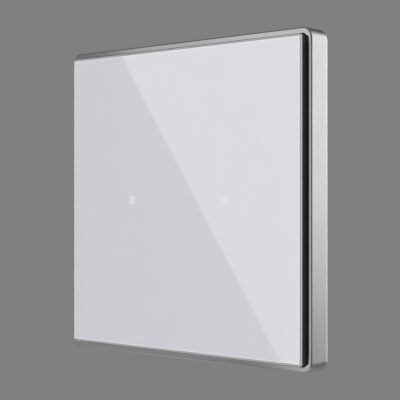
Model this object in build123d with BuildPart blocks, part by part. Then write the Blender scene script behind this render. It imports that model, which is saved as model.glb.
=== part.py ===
from build123d import *
from math import radians, tan
import os

# A touch switch with two touch areas for a wall box.
# The wall is the plane y = 0, the room is on its -Y side and +Z is up. All sizes are in millimetres.
# A height is measured from the wall towards the room, and a depth from the wall into the wall box.
# The origin lies midway between the two wall screws, on the wall.

os.makedirs("parts", exist_ok=True)

# Plate and metal frame
plate_size = 86.0
frame_height = 7.0
frame_wall = 1.6
frame_corner_radius = 2.8
frame_front_edge = 0.3
frame_rear_edge_width = 0.1
frame_rear_edge_depth = 0.5
frame_inner_edge = 0.12
flange_thickness = 1.2
flange_width = 2.6
flange_corner_cut = 8.0
tongue_width = 6.0
tongue_thickness = 1.2
tongue_spacing = 50.0
tongue_fit = 0.05
pry_slot_length = 8.0
pry_slot_height = 1.5

# Glass and the sheet that bonds it
panel_gap = 0.2
glass_thickness = 2.0
glass_proud = 1.8
glass_corner_radius = 0.8
bevel_width = 0.6
bevel_depth = 0.4
film_thickness = 0.3
film_inset = 0.8

# Panel carrier and its snap hooks
carrier_thickness = 1.4
skirt_thickness = 1.2
board_window_width = 62.0
board_window_height = 46.0
board_window_radius = 1.5
board_rib_thickness = 1.0
board_rib_height = 0.9
skirt_rib_count = 5
skirt_rib_thickness = 0.8
skirt_rib_spacing = 13.5
hook_width = 8.0
hook_thickness = 1.2
hook_reach = 0.9
hook_play = 0.1
hook_flex_room = 0.9
hook_land = 0.3
hook_tip_height = 0.25
hook_spacing = 44.0
hook_slot_fit = 0.3
hook_to_flange = 1.7

# Touch board and what is on it
touch_board_thickness = 1.0
touch_board_fit = 0.3
chip_width = 3.9
chip_length = 9.9
chip_height = 1.4
chip_lead_count = 8
chip_lead_pitch = 1.27
chip_lead_width = 0.4
chip_lead_reach = 1.0
chip_lead_thickness = 0.3
chip_stand = 0.15
chip_edge = 0.3
chip_z = -10.0
indicator_spacing = 33.8
window_width = 2.0
window_height = 2.3
light_guide_fit = 0.1
led_width = 3.4
led_length = 3.0
led_thickness = 0.8
header_z = 8.0
header_ways = 6
header_pitch = 2.54
header_width = 2.5
strip_height = 2.5
pin_width = 0.64
pin_length = 8.5
pin_point = 0.16
pin_fit = 0.1

# Base plate
base_thickness = 2.0
base_fit = 0.3
rim_thickness = 1.0
rim_fit = 0.3
rim_headroom = 0.5
board_post_size = 2.4
stake_width = 3.0
stake_inset = 4.5
stake_fit = 0.05
board_post_spacing_x = 39.8
board_post_spacing_z = 16.0
spigot_length = 24.0
spigot_thickness = 1.0
spigot_height = 2.0
spigot_fit = 0.3
header_opening_margin = 0.9

# Steel mounting plate and its slots for the wall screws
wall_screw_spacing = 60.3
wall_slot_width = 4.2
wall_slot_length = 7.0
wall_screw_head_room = 8.4
mounting_plate_fit = 1.0
mounting_plate_to_hook = 2.0
mounting_plate_corner_radius = 4.0
housing_opening_fit = 0.3

# Housing screws
housing_screw_radius = 1.2
housing_screw_head_radius = 2.2
housing_screw_length = 10.0
countersink_angle = 82.0
screw_fit = 0.05
head_fit = 0.1
screw_end_room = 0.3
slot_width = 0.6
slot_depth = 0.6

# Rear housing
housing_size = 48.0
housing_wall = 1.6
housing_corner_radius = 3.0
housing_edge = 1.0
housing_boss_radius = 3.0
housing_boss_inset = 4.4
board_ledge_reach = 1.0
board_ledge_width = 2.0
board_ledge_to_boss = 1.6
board_ledge_to_block = 2.5
vent_count = 7
vent_pitch = 3.2
vent_width = 1.4
vent_length = 9.0
vent_depth = 14.0

# Power board and its socket
power_board_thickness = 1.6
power_board_fit = 0.3
socket_height = 8.5
socket_end_margin = 0.5
socket_gap = 0.3
pin_end_room = 0.3
notch_fit = 0.2

# Parts on the power board, each place given from the board's +X wall and from the top of the terminal block
relay_width = 7.2
relay_length = 20.5
relay_height = 15.3
relay_gap = 1.0
relay_headroom = 0.7
relay_place = (26.4, 13.35)
relay_base_height = 1.5
relay_base_step = 0.2
relay_edge = 0.2
core_size = 10.4
core_leg = 2.6
core_wall = 1.7
core_thickness = 5.0
core_stand = 2.5
core_place = (13.8, 19.6)
coil_fit = 0.1
coil_build = 1.7
case_edge = 0.25
film_capacitor_length = 12.0
film_capacitor_width = 5.0
film_capacitor_height = 10.5
film_capacitor_place = (14.0, 8.0)
supply_capacitor_radius = 3.15
supply_capacitor_height = 11.0
supply_capacitor_places = ((4.2, 19.9), (4.2, 13.2))
varistor_radius = 3.5
varistor_thickness = 3.2
varistor_leg_width = 0.7
varistor_leg_spacing = 4.0
varistor_leg_height = 0.8
varistor_place = (26.4, 26.0)
fuse_length = 8.4
fuse_width = 4.0
fuse_height = 7.7
fuse_place = (14.4, 27.4)
choke_radius = 2.8
choke_height = 7.0
choke_place = (4.2, 6.8)

# Terminals: a screw that turns in place lifts a cage, which clamps the wire against a contact bar
terminal_count = 4
terminal_pitch = 7.62
terminal_end_wall = 0.5
terminal_block_width = 12.0
terminal_opening_fit = 0.2
entry_wall = 1.1
entry_chamfer = 0.4
cavity_fit = 0.2
driver_lip = 0.6
driver_radius = 1.9
terminal_screw_radius = 1.45
terminal_head_radius = 2.3
terminal_head_height = 1.6
terminal_screw_slot_width = 0.7
terminal_screw_slot_depth = 0.9
terminal_screw_play = 0.1
thread_fit = 0.07
cage_inner_width = 4.0
cage_inner_height = 4.4
cage_side = 0.7
cage_end = 1.0
cage_length = 5.2
cage_travel = 2.8
cage_headroom = 0.9
bar_width = 3.6
bar_thickness = 1.0
bar_gap = 0.2
bar_channel_fit = 0.1
bar_leg_wall = 1.6
solder_tail = 0.8

# Sizes along the wall that follow from the ones above
frame_inner = plate_size - 2 * frame_wall
frame_inner_radius = frame_corner_radius - frame_wall
flange_opening = frame_inner - 2 * flange_width
glass_size = frame_inner - 2 * panel_gap
film_size = glass_size - 2 * film_inset
skirt_inner = glass_size - 2 * skirt_thickness
rim_size = skirt_inner - 2 * rim_fit
skirt_rib_span = rim_size - 2 * (rim_thickness + rim_fit)
base_size = frame_inner - 2 * base_fit
base_corner_radius = frame_inner_radius - base_fit
touch_board_width = board_window_width - 2 * touch_board_fit
touch_board_height = board_window_height - 2 * touch_board_fit
hook_outer = flange_opening / 2 - hook_to_flange - hook_reach
hook_inner = hook_outer - hook_thickness
hook_slot_inner = hook_inner - hook_flex_room
hook_slot_outer = hook_outer + hook_slot_fit
hook_slot_width = hook_width + 2 * hook_slot_fit
mounting_plate_width = flange_opening - 2 * mounting_plate_fit
mounting_plate_height = 2 * (hook_slot_inner - mounting_plate_to_hook)
housing_inner = housing_size - 2 * housing_wall
housing_inner_radius = housing_corner_radius - housing_wall
power_board_size = housing_inner - 2 * power_board_fit
stake_spacing_x = mounting_plate_width - 2 * stake_inset
stake_spacing_z = mounting_plate_height - 2 * stake_inset
housing_screw_spacing = housing_size - 2 * housing_boss_inset
header_length = header_ways * header_pitch
socket_length = header_length + 2 * socket_end_margin

# Heights in front of the wall
base_rear = flange_thickness
base_front = base_rear + base_thickness
glass_front = frame_height + glass_proud
glass_rear = glass_front - glass_thickness
film_rear = glass_rear - film_thickness
carrier_rear = film_rear - carrier_thickness
touch_board_rear = film_rear - touch_board_thickness
rim_front = carrier_rear - rim_headroom
strip_rear = touch_board_rear - strip_height
socket_front = strip_rear - socket_gap

# Depths behind the wall
power_board_front = socket_height - socket_front
power_board_rear = power_board_front + power_board_thickness
housing_depth = power_board_rear + relay_height + relay_headroom + housing_wall
head_rear = housing_depth - driver_lip - terminal_screw_play
head_front = head_rear - terminal_head_height
cage_rear = head_front - cage_headroom - cage_travel
cage_front = cage_rear - cage_inner_height - 2 * cage_end
bar_rear = cage_rear - cage_end - bar_gap
bar_front = bar_rear - bar_thickness
cavity_rear = housing_depth - driver_lip

# The terminals along X and Z
terminal_places = [terminal_pitch * (i - (terminal_count - 1) / 2) for i in range(terminal_count)]
terminal_block_length = terminal_pitch * terminal_count + 2 * terminal_end_wall
block_bottom = -housing_size / 2
block_top = block_bottom + terminal_block_width
cage_width = cage_inner_width + 2 * cage_side
cavity_width = cage_width + 2 * cavity_fit
cavity_bottom = block_bottom + entry_wall
cavity_top = cavity_bottom + cage_length + 2 * cavity_fit
terminal_screw_z = (cavity_bottom + cavity_top) / 2
bar_bottom = cavity_bottom + cavity_fit
bar_leg_bottom = cavity_top + bar_leg_wall
bar_leg_top = bar_leg_bottom + bar_thickness


def wall_plane(height):
    """The plane parallel to the wall at a height in front of it, facing the room."""
    return Plane.XZ.offset(height)


def board_place(place):
    """The x and z of a place on the power board."""
    return (housing_inner / 2 - place[0], block_top + place[1])


def square_places(spacing_x, spacing_z):
    """The corners of a rectangle round the middle of the plate."""
    return GridLocations(spacing_x, spacing_z, 2, 2)


# Glass panel, with a ground bevel round its front
with BuildPart() as glass_panel:
    with BuildSketch(wall_plane(glass_rear)):
        RectangleRounded(glass_size, glass_size, glass_corner_radius)
    extrude(amount=glass_thickness)
    glass_face = glass_panel.faces().sort_by(Axis.Y)[0]
    chamfer(glass_face.edges(), length=bevel_width, length2=bevel_depth, reference=glass_face)
glass_panel.part.label = "glass_panel"
export_step(glass_panel.part, "parts/glass_panel.step")

# Bonding film, open over the light guides
with BuildPart() as bonding_film:
    with BuildSketch(wall_plane(film_rear)):
        Rectangle(film_size, film_size)
        with GridLocations(indicator_spacing, 0, 2, 1):
            guide_hole_width = window_width + 2 * light_guide_fit
            guide_hole_height = window_height + 2 * light_guide_fit
            Rectangle(guide_hole_width, guide_hole_height, mode=Mode.SUBTRACT)
    extrude(amount=film_thickness)
bonding_film.part.label = "bonding_film"
export_step(bonding_film.part, "parts/bonding_film.step")

# Panel carrier, a shallow tray with a window for the touch board and four snap hooks
with BuildPart() as panel_carrier:
    with BuildSketch(wall_plane(carrier_rear)):
        RectangleRounded(glass_size, glass_size, glass_corner_radius)
        RectangleRounded(board_window_width, board_window_height, board_window_radius, mode=Mode.SUBTRACT)
    extrude(amount=carrier_thickness)
    with BuildSketch(wall_plane(base_front)):
        RectangleRounded(glass_size, glass_size, glass_corner_radius)
        Rectangle(skirt_inner, skirt_inner, mode=Mode.SUBTRACT)
    extrude(amount=carrier_rear - base_front)
    with BuildSketch(wall_plane(carrier_rear)):
        Rectangle(board_window_width + 2 * board_rib_thickness, board_window_height + 2 * board_rib_thickness)
        # Ribs from the board's rim towards the skirt, which stop short of the base plate's rim
        with GridLocations(0, skirt_rib_spacing, 1, skirt_rib_count):
            Rectangle(skirt_rib_span, skirt_rib_thickness)
        with GridLocations(skirt_rib_spacing, 0, skirt_rib_count, 1):
            Rectangle(skirt_rib_thickness, skirt_rib_span)
        RectangleRounded(board_window_width, board_window_height, board_window_radius, mode=Mode.SUBTRACT)
    extrude(amount=-board_rib_height)
    for side in (-1, 1):
        with BuildSketch(Plane.YZ.offset(side * hook_spacing / 2)):
            with BuildLine():
                nose_front = base_rear - hook_play
                nose_tip = hook_outer + hook_reach
                Polyline(
                    (-carrier_rear, hook_inner),
                    (-carrier_rear, hook_outer),
                    (-nose_front, hook_outer),
                    (-nose_front, nose_tip),
                    (-nose_front + hook_land, nose_tip),
                    (-hook_tip_height, hook_outer),
                    (-hook_tip_height, hook_inner),
                    close=True,
                )
            make_face()
            mirror(about=Plane.XZ)
        extrude(amount=hook_width / 2, both=True)
    with BuildSketch(wall_plane(base_front)):
        with Locations((0, -glass_size / 2 + skirt_thickness / 2)):
            Rectangle(pry_slot_length, skirt_thickness)
    extrude(amount=pry_slot_height, mode=Mode.SUBTRACT)
panel_carrier.part.label = "panel_carrier"
export_step(panel_carrier.part, "parts/panel_carrier.step")

# Touch board, flush with the front of the carrier in its window
with BuildPart() as touch_board:
    with BuildSketch(wall_plane(touch_board_rear)):
        RectangleRounded(touch_board_width, touch_board_height, board_window_radius - touch_board_fit)
        with GridLocations(indicator_spacing, 0, 2, 1):
            Rectangle(guide_hole_width, guide_hole_height, mode=Mode.SUBTRACT)
    extrude(amount=touch_board_thickness)
touch_board.part.label = "touch_board"
export_step(touch_board.part, "parts/touch_board.step")

# Touch controller, a chip with two rows of leads on the back of the touch board
with BuildPart() as touch_controller:
    with BuildSketch(wall_plane(touch_board_rear - chip_stand)):
        with Locations((0, chip_z)):
            Rectangle(chip_length, chip_width)
    extrude(amount=-chip_height)
    chamfer(touch_controller.faces().sort_by(Axis.Y)[-1].edges(), chip_edge)
    with BuildSketch(wall_plane(touch_board_rear)):
        with Locations((0, chip_z)):
            with GridLocations(chip_lead_pitch, 0, chip_lead_count, 1):
                Rectangle(chip_lead_width, chip_width + 2 * chip_lead_reach)
    extrude(amount=-chip_lead_thickness)
touch_controller.part.label = "touch_controller"
export_step(touch_controller.part, "parts/touch_controller.step")

# Light guides, from the lamps through the board and the film to the back of the glass
with BuildPart() as light_guides:
    with BuildSketch(wall_plane(touch_board_rear)):
        with GridLocations(indicator_spacing, 0, 2, 1):
            Rectangle(window_width, window_height)
    extrude(amount=glass_rear - touch_board_rear)
light_guides.part.label = "light_guides"
export_step(light_guides.part, "parts/light_guides.step")

# Indicator lamps, astride the light guides on the back of the touch board
with BuildPart() as indicator_leds:
    with BuildSketch(wall_plane(touch_board_rear)):
        with GridLocations(indicator_spacing, 0, 2, 1):
            Rectangle(led_width, led_length)
    extrude(amount=-led_thickness)
indicator_leds.part.label = "indicator_leds"
export_step(indicator_leds.part, "parts/indicator_leds.step")

# Header strip of the panel's plug
with BuildPart() as header_strip:
    with BuildSketch(wall_plane(touch_board_rear)):
        with Locations((0, header_z)):
            Rectangle(header_length, header_width)
            with GridLocations(header_pitch, 0, header_ways, 1):
                Rectangle(pin_width, pin_width, mode=Mode.SUBTRACT)
    extrude(amount=-strip_height)
header_strip.part.label = "header_strip"
export_step(header_strip.part, "parts/header_strip.step")

# Header pins, which reach into the socket
with BuildPart() as header_pins:
    with BuildSketch(wall_plane(touch_board_rear)):
        with Locations((0, header_z)):
            with GridLocations(header_pitch, 0, header_ways, 1):
                Rectangle(pin_width, pin_width)
    extrude(amount=-pin_length)
    pin_tips = header_pins.faces().filter_by(Plane.XZ).group_by(Axis.Y)[-1]
    chamfer(pin_tips.edges(), pin_point)
header_pins.part.label = "header_pins"
export_step(header_pins.part, "parts/header_pins.step")

# Metal frame, with a flange inside at the wall and a slot below for prising the panel off
with BuildPart() as metal_frame:
    with BuildSketch(wall_plane(0)):
        RectangleRounded(plate_size, plate_size, frame_corner_radius)
        RectangleRounded(frame_inner, frame_inner, frame_inner_radius, mode=Mode.SUBTRACT)
    extrude(amount=frame_height)
    lip = metal_frame.faces().sort_by(Axis.Y)[0]
    chamfer(lip.outer_wire().edges(), frame_front_edge)
    lip = metal_frame.faces().sort_by(Axis.Y)[0]
    chamfer(lip.inner_wires().edges(), frame_inner_edge)
    rear = metal_frame.faces().sort_by(Axis.Y)[-1]
    rear_edges = rear.outer_wire().edges()
    chamfer(rear_edges, length=frame_rear_edge_width, length2=frame_rear_edge_depth, reference=rear)
    # The flange starts inside the wall, half way through it
    with BuildSketch(wall_plane(0)):
        flange_outer = frame_inner + frame_wall
        RectangleRounded(flange_outer, flange_outer, frame_corner_radius - frame_wall / 2)
    extrude(amount=flange_thickness)
    with BuildSketch(wall_plane(0)) as flange_hole:
        Rectangle(flange_opening, flange_opening)
        chamfer(flange_hole.vertices(), flange_corner_cut)
    extrude(amount=flange_thickness, mode=Mode.SUBTRACT)
    # Slots for the base plate's tongues
    with BuildSketch(wall_plane(0)):
        tongue_slot_width = tongue_width + 2 * tongue_fit
        tongue_slot_thickness = tongue_thickness + 2 * tongue_fit
        with GridLocations(tongue_spacing, flange_opening + flange_width, 2, 2):
            Rectangle(tongue_slot_width, tongue_slot_thickness)
        with GridLocations(flange_opening + flange_width, tongue_spacing, 2, 2):
            Rectangle(tongue_slot_thickness, tongue_slot_width)
    extrude(amount=flange_thickness, mode=Mode.SUBTRACT)
    with BuildSketch(Plane.XY.offset(-plate_size / 2)):
        with Locations((0, -base_front - pry_slot_height / 2)):
            Rectangle(pry_slot_length, pry_slot_height)
    extrude(amount=frame_wall, mode=Mode.SUBTRACT)
metal_frame.part.label = "metal_frame"
export_step(metal_frame.part, "parts/metal_frame.step")

# Base plate, which carries the frame, the panel, the mounting plate and the rear housing
with BuildPart() as base_plate:
    with BuildSketch(wall_plane(base_rear)):
        RectangleRounded(base_size, base_size, base_corner_radius)
    extrude(amount=base_thickness)
    with BuildSketch(wall_plane(base_front)):
        Rectangle(rim_size, rim_size)
        Rectangle(rim_size - 2 * rim_thickness, rim_size - 2 * rim_thickness, mode=Mode.SUBTRACT)
    extrude(amount=rim_front - base_front)
    # Four spigots that locate the housing, and four posts that press on the power board
    with BuildSketch(wall_plane(base_rear)):
        spigot_offset = housing_inner / 2 - spigot_fit - spigot_thickness / 2
        with Locations((0, spigot_offset), (0, -spigot_offset)):
            Rectangle(spigot_length, spigot_thickness)
        with Locations((spigot_offset, 0), (-spigot_offset, 0)):
            Rectangle(spigot_thickness, spigot_length)
    extrude(amount=-spigot_height)
    with BuildSketch(wall_plane(base_rear)):
        with square_places(board_post_spacing_x, board_post_spacing_z):
            Rectangle(board_post_size, board_post_size)
    extrude(amount=-base_rear - power_board_front)
    # Tongues that are pressed into the frame's flange, and stakes that hold the mounting plate
    with BuildSketch(wall_plane(base_rear)):
        with GridLocations(tongue_spacing, flange_opening + flange_width, 2, 2):
            Rectangle(tongue_width, tongue_thickness)
        with GridLocations(flange_opening + flange_width, tongue_spacing, 2, 2):
            Rectangle(tongue_thickness, tongue_width)
        with square_places(stake_spacing_x, stake_spacing_z):
            Rectangle(stake_width, stake_width)
    extrude(amount=-base_rear)
    # Room for the wall screws' heads, the snap hooks and the plug
    with BuildSketch(wall_plane(base_rear)):
        with GridLocations(wall_screw_spacing, 0, 2, 1):
            SlotCenterToCenter(wall_slot_length - wall_slot_width, wall_screw_head_room)
        with square_places(hook_spacing, hook_slot_inner + hook_slot_outer):
            Rectangle(hook_slot_width, hook_slot_outer - hook_slot_inner)
        with Locations((0, header_z)):
            opening_length = socket_length + 2 * header_opening_margin
            opening_width = header_width + 2 * header_opening_margin
            Rectangle(opening_length, opening_width)
    extrude(amount=base_thickness, mode=Mode.SUBTRACT)
    with Locations(wall_plane(base_front)):
        with square_places(housing_screw_spacing, housing_screw_spacing):
            CounterSinkHole(
                radius=housing_screw_radius + head_fit,
                counter_sink_radius=housing_screw_head_radius + head_fit,
                depth=base_thickness,
                counter_sink_angle=countersink_angle,
            )
base_plate.part.label = "base_plate"
export_step(base_plate.part, "parts/base_plate.step")

# Steel mounting plate, slotted for the wall screws
with BuildPart() as mounting_plate:
    with BuildSketch(wall_plane(0)):
        RectangleRounded(mounting_plate_width, mounting_plate_height, mounting_plate_corner_radius)
        housing_opening = housing_size + 2 * housing_opening_fit
        opening_radius = housing_corner_radius + housing_opening_fit
        RectangleRounded(housing_opening, housing_opening, opening_radius, mode=Mode.SUBTRACT)
        with GridLocations(wall_screw_spacing, 0, 2, 1):
            SlotOverall(wall_slot_length, wall_slot_width, mode=Mode.SUBTRACT)
        with square_places(stake_spacing_x, stake_spacing_z):
            Rectangle(stake_width + 2 * stake_fit, stake_width + 2 * stake_fit, mode=Mode.SUBTRACT)
    extrude(amount=base_rear)
mounting_plate.part.label = "mounting_plate"
export_step(mounting_plate.part, "parts/mounting_plate.step")

# Countersunk slotted screws, which hold the rear housing from the front
with BuildPart(wall_plane(base_front)) as housing_screws:
    with square_places(housing_screw_spacing, housing_screw_spacing):
        hanging = (Align.CENTER, Align.CENTER, Align.MAX)
        cone_height = (housing_screw_head_radius - housing_screw_radius) / tan(radians(countersink_angle / 2))
        Cylinder(housing_screw_radius, housing_screw_length, align=hanging)
        Cone(housing_screw_radius, housing_screw_head_radius, cone_height, align=hanging)
        Box(2 * housing_screw_head_radius, slot_width, slot_depth, align=hanging, mode=Mode.SUBTRACT)
housing_screws.part.label = "housing_screws"
export_step(housing_screws.part, "parts/housing_screws.step")

# Rear housing, a tub with vents above, screw bosses in its corners and ledges for the power board
with BuildPart() as rear_housing:
    with BuildSketch(wall_plane(base_rear)):
        RectangleRounded(housing_size, housing_size, housing_corner_radius)
    extrude(amount=-base_rear - housing_depth)
    chamfer(rear_housing.faces().sort_by(Axis.Y)[-1].edges(), housing_edge)
    with BuildSketch(wall_plane(base_rear)):
        RectangleRounded(housing_inner, housing_inner, housing_inner_radius)
    extrude(amount=-base_rear - housing_depth + housing_wall, mode=Mode.SUBTRACT)
    with BuildSketch(wall_plane(base_rear)):
        with square_places(housing_screw_spacing, housing_screw_spacing):
            Circle(housing_boss_radius)
    extrude(amount=-base_rear - housing_depth + housing_wall)
    with BuildSketch(wall_plane(-power_board_rear)):
        ledge_offset = (housing_inner - board_ledge_reach) / 2
        upper_ledge_z = housing_screw_spacing / 2 - housing_boss_radius - board_ledge_to_boss
        for ledge_z in (block_top + board_ledge_to_block, upper_ledge_z):
            with Locations((-ledge_offset, ledge_z), (ledge_offset, ledge_z)):
                Rectangle(board_ledge_reach, board_ledge_width)
    extrude(amount=power_board_rear - housing_depth + housing_wall)
    with Locations(wall_plane(base_rear)):
        with square_places(housing_screw_spacing, housing_screw_spacing):
            boss_hole_depth = housing_screw_length - base_thickness + screw_end_room
            Hole(housing_screw_radius + screw_fit, boss_hole_depth)
    with BuildSketch(Plane.XY.offset(housing_size / 2)):
        with Locations((0, vent_depth)):
            with GridLocations(vent_pitch, 0, vent_count, 1):
                Rectangle(vent_width, vent_length)
    extrude(amount=-housing_wall, mode=Mode.SUBTRACT)
    block_opening_front = power_board_rear - terminal_opening_fit
    with BuildSketch(wall_plane(-block_opening_front)):
        opening_bottom = block_bottom - terminal_opening_fit
        opening_height = terminal_block_width + 2 * terminal_opening_fit
        with Locations((0, opening_bottom + opening_height / 2)):
            Rectangle(terminal_block_length + 2 * terminal_opening_fit, opening_height)
    extrude(amount=block_opening_front - housing_depth, mode=Mode.SUBTRACT)
rear_housing.part.label = "rear_housing"
export_step(rear_housing.part, "parts/rear_housing.step")

# Power board, notched round the housing's bosses and slotted for the contact bars
with BuildPart() as power_board:
    with BuildSketch(wall_plane(-power_board_rear)):
        Rectangle(power_board_size, power_board_size)
        notch_inner = housing_screw_spacing / 2 - housing_boss_radius - notch_fit
        notch_size = power_board_size / 2 - notch_inner
        with square_places(notch_inner + power_board_size / 2, notch_inner + power_board_size / 2):
            Rectangle(notch_size, notch_size, mode=Mode.SUBTRACT)
        leg_slot_z = (bar_leg_bottom + bar_leg_top) / 2
        with Locations(*[(x, leg_slot_z) for x in terminal_places]):
            leg_slot_width = bar_width + 2 * bar_channel_fit
            leg_slot_height = bar_thickness + 2 * bar_channel_fit
            Rectangle(leg_slot_width, leg_slot_height, mode=Mode.SUBTRACT)
    extrude(amount=power_board_thickness)
power_board.part.label = "power_board"
export_step(power_board.part, "parts/power_board.step")

# Socket on the front of the power board, which takes the panel's pins
with BuildPart() as board_socket:
    with BuildSketch(wall_plane(-power_board_front)):
        with Locations((0, header_z)):
            Rectangle(socket_length, header_width)
    extrude(amount=socket_height)
    with BuildSketch(wall_plane(socket_front)):
        with Locations((0, header_z)):
            with GridLocations(header_pitch, 0, header_ways, 1):
                Rectangle(pin_width + 2 * pin_fit, pin_width + 2 * pin_fit)
    pin_hole_depth = pin_length - strip_height - socket_gap + pin_end_room
    extrude(amount=-pin_hole_depth, mode=Mode.SUBTRACT)
board_socket.part.label = "board_socket"
export_step(board_socket.part, "parts/board_socket.step")

# Relays, one for each lamp circuit, each with its base standing out a little all round
for number in (1, 2):
    relay_x, relay_z = board_place(relay_place)
    relay_x = relay_x - (2 - number) * (relay_width + relay_gap)
    with BuildPart() as relay:
        with BuildSketch(wall_plane(-power_board_rear)):
            with Locations((relay_x, relay_z)):
                Rectangle(relay_width, relay_length)
        extrude(amount=-relay_base_height)
        with BuildSketch(wall_plane(-power_board_rear - relay_base_height)):
            with Locations((relay_x, relay_z)):
                Rectangle(relay_width - 2 * relay_base_step, relay_length - 2 * relay_base_step)
        extrude(amount=relay_base_height - relay_height)
        chamfer(relay.faces().sort_by(Axis.Y)[-1].edges(), relay_edge)
    relay.part.label = f"relay_{number}"
    export_step(relay.part, f"parts/relay_{number}.step")

# Transformer core, two outer legs and a middle leg joined by yokes
with BuildPart() as transformer_core:
    core_front = power_board_rear + core_stand
    core_x, core_z = board_place(core_place)
    with BuildSketch(wall_plane(-core_front)):
        with Locations((core_x, core_z)):
            Rectangle(core_size, core_size)
            core_window_width = (core_size - core_leg) / 2 - core_wall
            core_window_height = core_size - 2 * core_wall
            with GridLocations(core_leg + core_window_width, 0, 2, 1):
                Rectangle(core_window_width, core_window_height, mode=Mode.SUBTRACT)
    extrude(amount=-core_thickness)
transformer_core.part.label = "transformer_core"
export_step(transformer_core.part, "parts/transformer_core.step")

# Transformer coil, wound round the core's middle leg
with BuildPart() as transformer_coil:
    coil_length = core_window_height - 2 * coil_fit
    with BuildSketch(Plane.XY.offset(core_z - coil_length / 2)):
        with Locations((core_x, core_front + core_thickness / 2)):
            leg_room_width = core_leg + 2 * coil_fit
            leg_room_depth = core_thickness + 2 * coil_fit
            Rectangle(leg_room_width + 2 * coil_build, leg_room_depth + 2 * coil_build)
            Rectangle(leg_room_width, leg_room_depth, mode=Mode.SUBTRACT)
    extrude(amount=coil_length)
transformer_coil.part.label = "transformer_coil"
export_step(transformer_coil.part, "parts/transformer_coil.step")

# Film capacitor across the supply
with BuildPart() as film_capacitor:
    with BuildSketch(wall_plane(-power_board_rear)):
        with Locations(board_place(film_capacitor_place)):
            Rectangle(film_capacitor_length, film_capacitor_width)
    extrude(amount=-film_capacitor_height)
    chamfer(film_capacitor.faces().sort_by(Axis.Y)[-1].edges(), case_edge)
film_capacitor.part.label = "film_capacitor"
export_step(film_capacitor.part, "parts/film_capacitor.step")

# Supply capacitors
for number, place in enumerate(supply_capacitor_places, start=1):
    with BuildPart() as supply_capacitor:
        with BuildSketch(wall_plane(-power_board_rear)):
            with Locations(board_place(place)):
                Circle(supply_capacitor_radius)
        extrude(amount=-supply_capacitor_height)
    supply_capacitor.part.label = f"supply_capacitor_{number}"
    export_step(supply_capacitor.part, f"parts/supply_capacitor_{number}.step")

# Varistor, a disc that stands on two legs
with BuildPart() as varistor:
    disc_middle = power_board_rear + varistor_leg_height + varistor_radius
    varistor_x, varistor_z = board_place(varistor_place)
    with BuildSketch(Plane.XY.offset(varistor_z - varistor_thickness / 2)):
        with Locations((varistor_x, disc_middle)):
            Circle(varistor_radius)
    extrude(amount=varistor_thickness)
    with BuildSketch(wall_plane(-power_board_rear)):
        with Locations((varistor_x, varistor_z)):
            with GridLocations(varistor_leg_spacing, 0, 2, 1):
                Rectangle(varistor_leg_width, varistor_leg_width)
    extrude(amount=-varistor_leg_height - varistor_radius)
varistor.part.label = "varistor"
export_step(varistor.part, "parts/varistor.step")

# Fuse in its moulded case
with BuildPart() as fuse:
    with BuildSketch(wall_plane(-power_board_rear)):
        with Locations(board_place(fuse_place)):
            Rectangle(fuse_length, fuse_width)
    extrude(amount=-fuse_height)
    chamfer(fuse.faces().sort_by(Axis.Y)[-1].edges(), case_edge)
fuse.part.label = "fuse"
export_step(fuse.part, "parts/fuse.step")

# Choke, wound on a drum
with BuildPart() as choke:
    with BuildSketch(wall_plane(-power_board_rear)):
        with Locations(board_place(choke_place)):
            Circle(choke_radius)
    extrude(amount=-choke_height)
choke.part.label = "choke"
export_step(choke.part, "parts/choke.step")

# Terminal block, one open cell for each terminal
with BuildPart() as terminal_block:
    with BuildSketch(wall_plane(-power_board_rear)):
        with Locations((0, (block_bottom + block_top) / 2)):
            Rectangle(terminal_block_length, terminal_block_width)
    extrude(amount=power_board_rear - housing_depth)
    # A straight cavity for the cage and the screw's head, with a lip behind that keeps the head in
    with BuildSketch(wall_plane(-power_board_rear)):
        with Locations(*[(x, terminal_screw_z) for x in terminal_places]):
            Rectangle(cavity_width, cavity_top - cavity_bottom)
    extrude(amount=power_board_rear - cavity_rear, mode=Mode.SUBTRACT)
    with BuildSketch(wall_plane(-housing_depth)):
        with Locations(*[(x, terminal_screw_z) for x in terminal_places]):
            Circle(driver_radius)
    extrude(amount=driver_lip, mode=Mode.SUBTRACT)
    # The channel for the contact bar and its leg, open on the inner side
    channel_width = bar_width + 2 * bar_channel_fit
    with BuildSketch(wall_plane(-power_board_rear)):
        channel_bottom = bar_leg_bottom - bar_channel_fit
        with Locations(*[(x, (channel_bottom + block_top) / 2) for x in terminal_places]):
            Rectangle(channel_width, block_top - channel_bottom)
    extrude(amount=power_board_rear - bar_rear - bar_channel_fit, mode=Mode.SUBTRACT)
    with BuildSketch(Plane.XY.offset(cavity_top)):
        with Locations(*[(x, (bar_front + bar_rear) / 2) for x in terminal_places]):
            Rectangle(channel_width, bar_thickness + 2 * bar_channel_fit)
    extrude(amount=bar_leg_bottom - cavity_top, mode=Mode.SUBTRACT)
    # The wire's way in, between the open cage's floor and the bar
    entry_front = cage_front + cage_end
    with BuildSketch(Plane.XY.offset(block_bottom)):
        with Locations(*[(x, (entry_front + bar_rear) / 2) for x in terminal_places]):
            Rectangle(cage_inner_width, bar_rear - entry_front)
    extrude(amount=entry_wall, mode=Mode.SUBTRACT)
    outer_edges = terminal_block.faces().filter_by(Axis.Z).sort_by(Axis.Z)[0].inner_wires().edges()
    chamfer(outer_edges, entry_chamfer)
terminal_block.part.label = "terminal_block"
export_step(terminal_block.part, "parts/terminal_block.step")

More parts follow.
